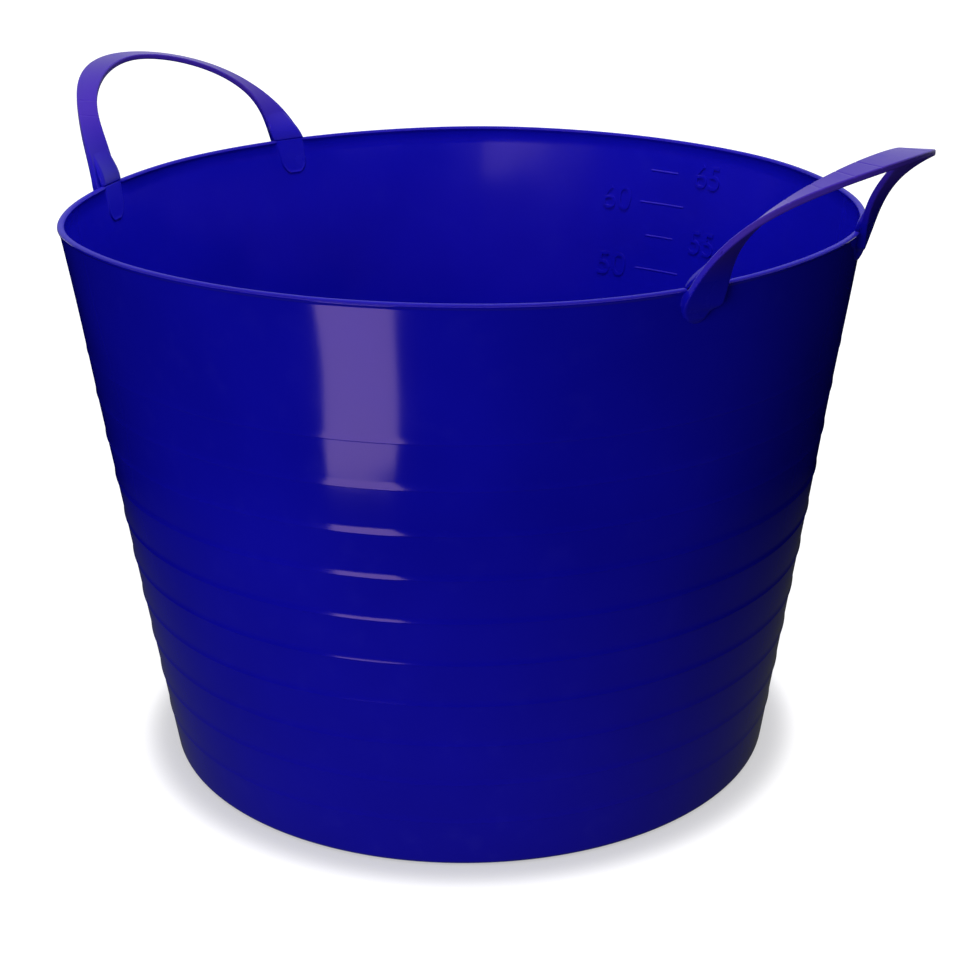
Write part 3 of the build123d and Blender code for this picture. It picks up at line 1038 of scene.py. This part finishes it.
class TUB_OT_handles(bpy.types.Operator):
    """Moulds both handles, each with its root pads and webs, soft where they fold"""

    bl_idname = "tub.handles"
    bl_label = "Handles"

    def execute(self, context):
        scene = context.scene
        for side, (bend, half_turns) in bends_by_side(scene).items():
            skin = handle_mesh(scene.tub_shape, scene.tub_handle, bend, half_turns)
            webs = webs_mesh(scene.tub_shape, scene.tub_handle, bend, half_turns)
            for name, mesh in ((side + "_handle_skin", skin), (side + "_handle_webs", webs)):
                piece = mesh_piece(name, *mesh, tub_materials()[2])
                if mesh is skin:
                    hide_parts(side + "_strap", side + "_front_root", side + "_rear_root")
                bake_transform(piece)
        return {"FINISHED"}


class TUB_OT_litre_scale(bpy.types.Operator):
    """Raises the litre marks and their figures on the inner wall"""

    bl_idname = "tub.litre_scale"
    bl_label = "Litre scale"

    def execute(self, context):
        shape, scale = context.scene.tub_shape, context.scene.tub_scale
        wall_material = tub_materials()[0]
        places = []
        for litres, z in litre_marks(shape, scale):
            reach = scale.long_mark if litres % 10 == 0 else scale.short_mark
            for step in range(RIB_PIECES):
                offset = (step + 0.5) / RIB_PIECES - 0.5
                around = scale.middle - offset * reach / (wall_radius(z) - shape.wall)
                places.append((*on_inner_wall(shape, around, z), RIB_OVERLAP * reach / RIB_PIECES))
        marks = rib_piece("litre_marks", places, scale.rib, scale.rib_flat, wall_material)
        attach(marks, "tub")
        self.raise_figures(context, wall_material)
        return {"FINISHED"}

    def raise_figures(self, context, material):
        """Plain figures beside the marks, tens on the left and fives on the right."""
        shape, scale = context.scene.tub_shape, context.scene.tub_scale
        points, faces = [], []
        for litres, z in litre_marks(shape, scale):
            side = -1 if litres % 10 == 0 else 1
            inner = wall_radius(z) - shape.wall
            flat = self.figure_mesh(str(litres), scale)
            first = len(points)
            for vertex in flat.vertices:
                x, y, lift = vertex.co
                around = scale.middle - (side * scale.figure_gap + x) / inner
                point, _, face = on_inner_wall(shape, around, z + y)
                points.append(point + face * lift)
            faces += [tuple(first + i for i in polygon.vertices) for polygon in flat.polygons]
            bpy.data.meshes.remove(flat)
        figures = mesh_piece("litre_figures", points, faces, material)
        figures.data.polygons.foreach_set("use_smooth", [False] * len(figures.data.polygons))
        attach(figures, "tub")

    def figure_mesh(self, words, scale):
        """A flat mesh of figures, middled on the origin and raised both ways from it."""
        curve = bpy.data.curves.new("figure", "FONT")
        curve.body = words
        curve.size = FONT_SIZE * scale.figure
        curve.align_x = "CENTER"
        curve.align_y = "CENTER"
        curve.extrude = scale.figure_proud
        carrier = bpy.data.objects.new("figure", curve)
        bpy.context.scene.collection.objects.link(carrier)
        graph = bpy.context.evaluated_depsgraph_get()
        mesh = bpy.data.meshes.new_from_object(carrier.evaluated_get(graph))
        bpy.data.objects.remove(carrier)
        bpy.data.curves.remove(curve)
        return mesh


class TUB_OT_stage(bpy.types.Operator):
    """Lays the floor, sets the lamps and stands the camera where the photograph was taken"""

    bl_idname = "tub.stage"
    bl_label = "Stage"

    def execute(self, context):
        studio = context.scene.tub_studio
        context.scene.view_settings.view_transform = "Standard"
        tub = [piece for piece in context.scene.collection.objects if piece.type == "MESH"]
        floor = self.lay_floor(studio)
        self.set_surround(studio)
        self.light_room(context, studio, tub, floor)
        self.stand_camera(context, studio)
        return {"FINISHED"}

    def lay_floor(self, studio):
        """A pale floor that is white where it is seen, keeps the tub's shadow, and has a contact shadow
        painted into its added light.
        """
        half = studio.floor_size / 2
        corners = [(-half, -half, 0), (half, -half, 0), (half, half, 0), (-half, half, 0)]
        material, tree = new_material("floor_white")
        tree.nodes.remove(tree.nodes["Principled BSDF"])
        in_view = self.seen(tree)
        tone = map_range(tree, in_view, 0, 1, studio.floor_bounce, studio.floor_tone)
        matt = add_node(tree, "ShaderNodeBsdfDiffuse", {"Color": tone})
        # Painted shadow: ambient occlusion lowers the floor's added light close to the tub, a painted
        # contact shadow
        nearby = add_node(tree, "ShaderNodeAmbientOcclusion", {"Distance": studio.shadow_reach})
        clear = map_range(tree, nearby.outputs["AO"], 0.5, 1, 0, 1)
        shadow_fall = 2.2
        fall = work_out(tree, "POWER", clear, shadow_fall)
        lift = map_range(tree, fall, 0, 1, studio.shadow_lift, studio.floor_lift)
        strength = work_out(tree, "MULTIPLY", in_view, lift)
        light = add_node(tree, "ShaderNodeEmission", {"Color": (1, 1, 1, 1), "Strength": strength})
        shaders = (matt.outputs["BSDF"], light.outputs["Emission"])
        both = add_node(tree, "ShaderNodeAddShader", enumerate(shaders))
        feed(tree, tree.nodes["Material Output"], {"Surface": both.outputs["Shader"]})
        floor = mesh_piece("floor", corners, [(0, 1, 2, 3)], material)
        return floor

    def seen(self, tree):
        """1 for rays from the camera, from gloss and through glass, and 0 for light on things."""
        path = add_node(tree, "ShaderNodeLightPath").outputs
        total = path["Is Camera Ray"]
        for name in ("Is Glossy Ray", "Is Transmission Ray"):
            total = work_out(tree, "MAXIMUM", total, path[name])
        return total

    def set_surround(self, studio):
        """A dark tray with a low side, open at the back, and a dim disc, which only reflections show."""
        turns = np.linspace(0, 2 * math.pi, TRAY_SIDES, endpoint=False)
        low = round_the_tub(studio.surround_radius, turns, TRAY_LIFT)
        high = round_the_tub(studio.surround_radius, turns, studio.surround_height)
        faces = [tuple(range(TRAY_SIDES))]
        for j in range(TRAY_SIDES):
            if j not in OPEN_BACK:
                k = (j + 1) % TRAY_SIDES
                faces.append((j, k, k + TRAY_SIDES, j + TRAY_SIDES))
        material, tree = new_material("surround_dark")
        feed(tree, tree.nodes["Principled BSDF"], {
            "Base Color": (0.004, 0.004, 0.006, 1),
            "Specular IOR Level": 0,
        })
        self.only_gloss(mesh_piece("dark_surround", np.concatenate([low, high]), faces, material))
        near_floor = round_the_tub(studio.near_floor, turns, NEAR_LIFT)
        self.glow("near_floor", near_floor, NEAR_COLOUR, NEAR_FULL)

    def light_room(self, context, studio, tub, floor):
        """A white room, soft lamps for the tub and for the floor, and two cards that only gloss shows."""
        world = bpy.data.worlds.new("white_room")
        world.use_nodes = True
        context.scene.world = world
        tree = world.node_tree
        strength = map_range(tree, self.seen(tree), 0, 1, studio.room_light, 1)
        feed(tree, tree.nodes["Background"], {"Color": (1, 1, 1, 1), "Strength": strength})
        shell = [piece for piece in tub if not piece.name.endswith("handle_skin")]
        lit = {"tub": tub, "shell": shell, "floor": [floor]}
        for name, stand, target, side, power, pieces in LAMPS:
            self.shine_on(self.lamp(context, name, stand, target, side, power), lit[pieces])
        self.glow("floor_glow", FLOOR_GLOW, (2.5, 2.5, 2.5))
        self.glow("window_glow", WINDOW_GLOW, (0.7, 0.7, 0.7))

    def glow(self, name, corners, light_colour, full=None):
        """A glowing card that only gloss shows. From the radius full it fades to nothing at its edge."""
        material, tree = new_material(name)
        tree.nodes.remove(tree.nodes["Principled BSDF"])
        strength = max(light_colour)
        tint = (*[c / strength for c in light_colour], 1)
        if full:
            position = add_node(tree, "ShaderNodeTexCoord").outputs["Object"]
            reach = add_node(tree, "ShaderNodeVectorMath", {0: position}, operation="LENGTH")
            edge = math.hypot(corners[0][0], corners[0][1])
            strength = map_range(tree, reach.outputs["Value"], full, edge, strength, 0)
        light = add_node(tree, "ShaderNodeEmission", {"Color": tint, "Strength": strength})
        feed(tree, tree.nodes["Material Output"], {"Surface": light.outputs["Emission"]})
        self.only_gloss(mesh_piece(name, corners, [tuple(range(len(corners)))], material))

    def only_gloss(self, piece):
        """Hides a piece of the stage from all but reflections."""
        for ray in ("camera", "diffuse", "transmission", "volume_scatter", "shadow"):
            setattr(piece, "visible_" + ray, False)

    def shine_on(self, lamp, pieces):
        """Lets a lamp light these pieces alone."""
        lit = bpy.data.collections.new("lit_by_" + lamp.name)
        for piece in pieces:
            lit.objects.link(piece)
        lamp.light_linking.receiver_collection = lit

    def lamp(self, context, name, stand, target, side, power):
        """A soft square lamp that neither the camera nor gloss shows."""
        light = bpy.data.lights.new(name, "AREA")
        light.shape = "SQUARE"
        light.size = side
        light.energy = power
        lamp = bpy.data.objects.new(name, light)
        lamp.location = stand
        lamp.rotation_euler = (Vector(target) - Vector(stand)).to_track_quat("-Z", "Y").to_euler()
        lamp.visible_camera = False
        lamp.visible_glossy = False
        context.scene.collection.objects.link(lamp)
        return lamp

    def stand_camera(self, context, studio):
        """The camera, looking down across the rim between the handles."""
        data = bpy.data.cameras.new("camera")
        data.sensor_width = 36
        data.lens = studio.lens
        camera = bpy.data.objects.new("camera", data)
        turn = Matrix.Rotation(studio.camera_heading, 4, "Z")
        tilt = Matrix.Rotation(math.pi / 2 - studio.camera_pitch, 4, "X")
        roll = Matrix.Rotation(studio.camera_roll, 4, "Z")
        camera.matrix_world = Matrix.Translation(studio.camera_place) @ turn @ tilt @ roll
        context.scene.collection.objects.link(camera)
        context.scene.camera = camera


class TUB_PT_panel(bpy.types.Panel):
    """Lists the steps that build the tub"""

    bl_idname = "TUB_PT_panel"
    bl_label = "Flexible tub"
    bl_space_type = "VIEW_3D"
    bl_region_type = "UI"
    bl_category = "Tub"

    def draw(self, context):
        for operator in STEPS:
            self.layout.operator(operator.bl_idname)


GROUPS = {
    "tub_shape": TubShape,
    "tub_handle": HandleShape,
    "tub_right_bend": RightBend,
    "tub_left_bend": LeftBend,
    "tub_scale": LitreScale,
    "tub_finish": TubFinish,
    "tub_studio": Studio,
}
STEPS = (TUB_OT_shell, TUB_OT_handles, TUB_OT_litre_scale, TUB_OT_stage)


def register():
    for item in (*GROUPS.values(), *STEPS, TUB_PT_panel):
        bpy.utils.register_class(item)
    for name, group in GROUPS.items():
        setattr(bpy.types.Scene, name, PointerProperty(type=group))


def unregister():
    for name in GROUPS:
        delattr(bpy.types.Scene, name)
    for item in (TUB_PT_panel, *reversed(STEPS), *reversed(GROUPS.values())):
        bpy.utils.unregister_class(item)


def main():
    register()
    bpy.ops.tub.shell()
    bpy.ops.tub.handles()
    bpy.ops.tub.litre_scale()
    bpy.ops.tub.stage()


if __name__ == "__main__":
    main()
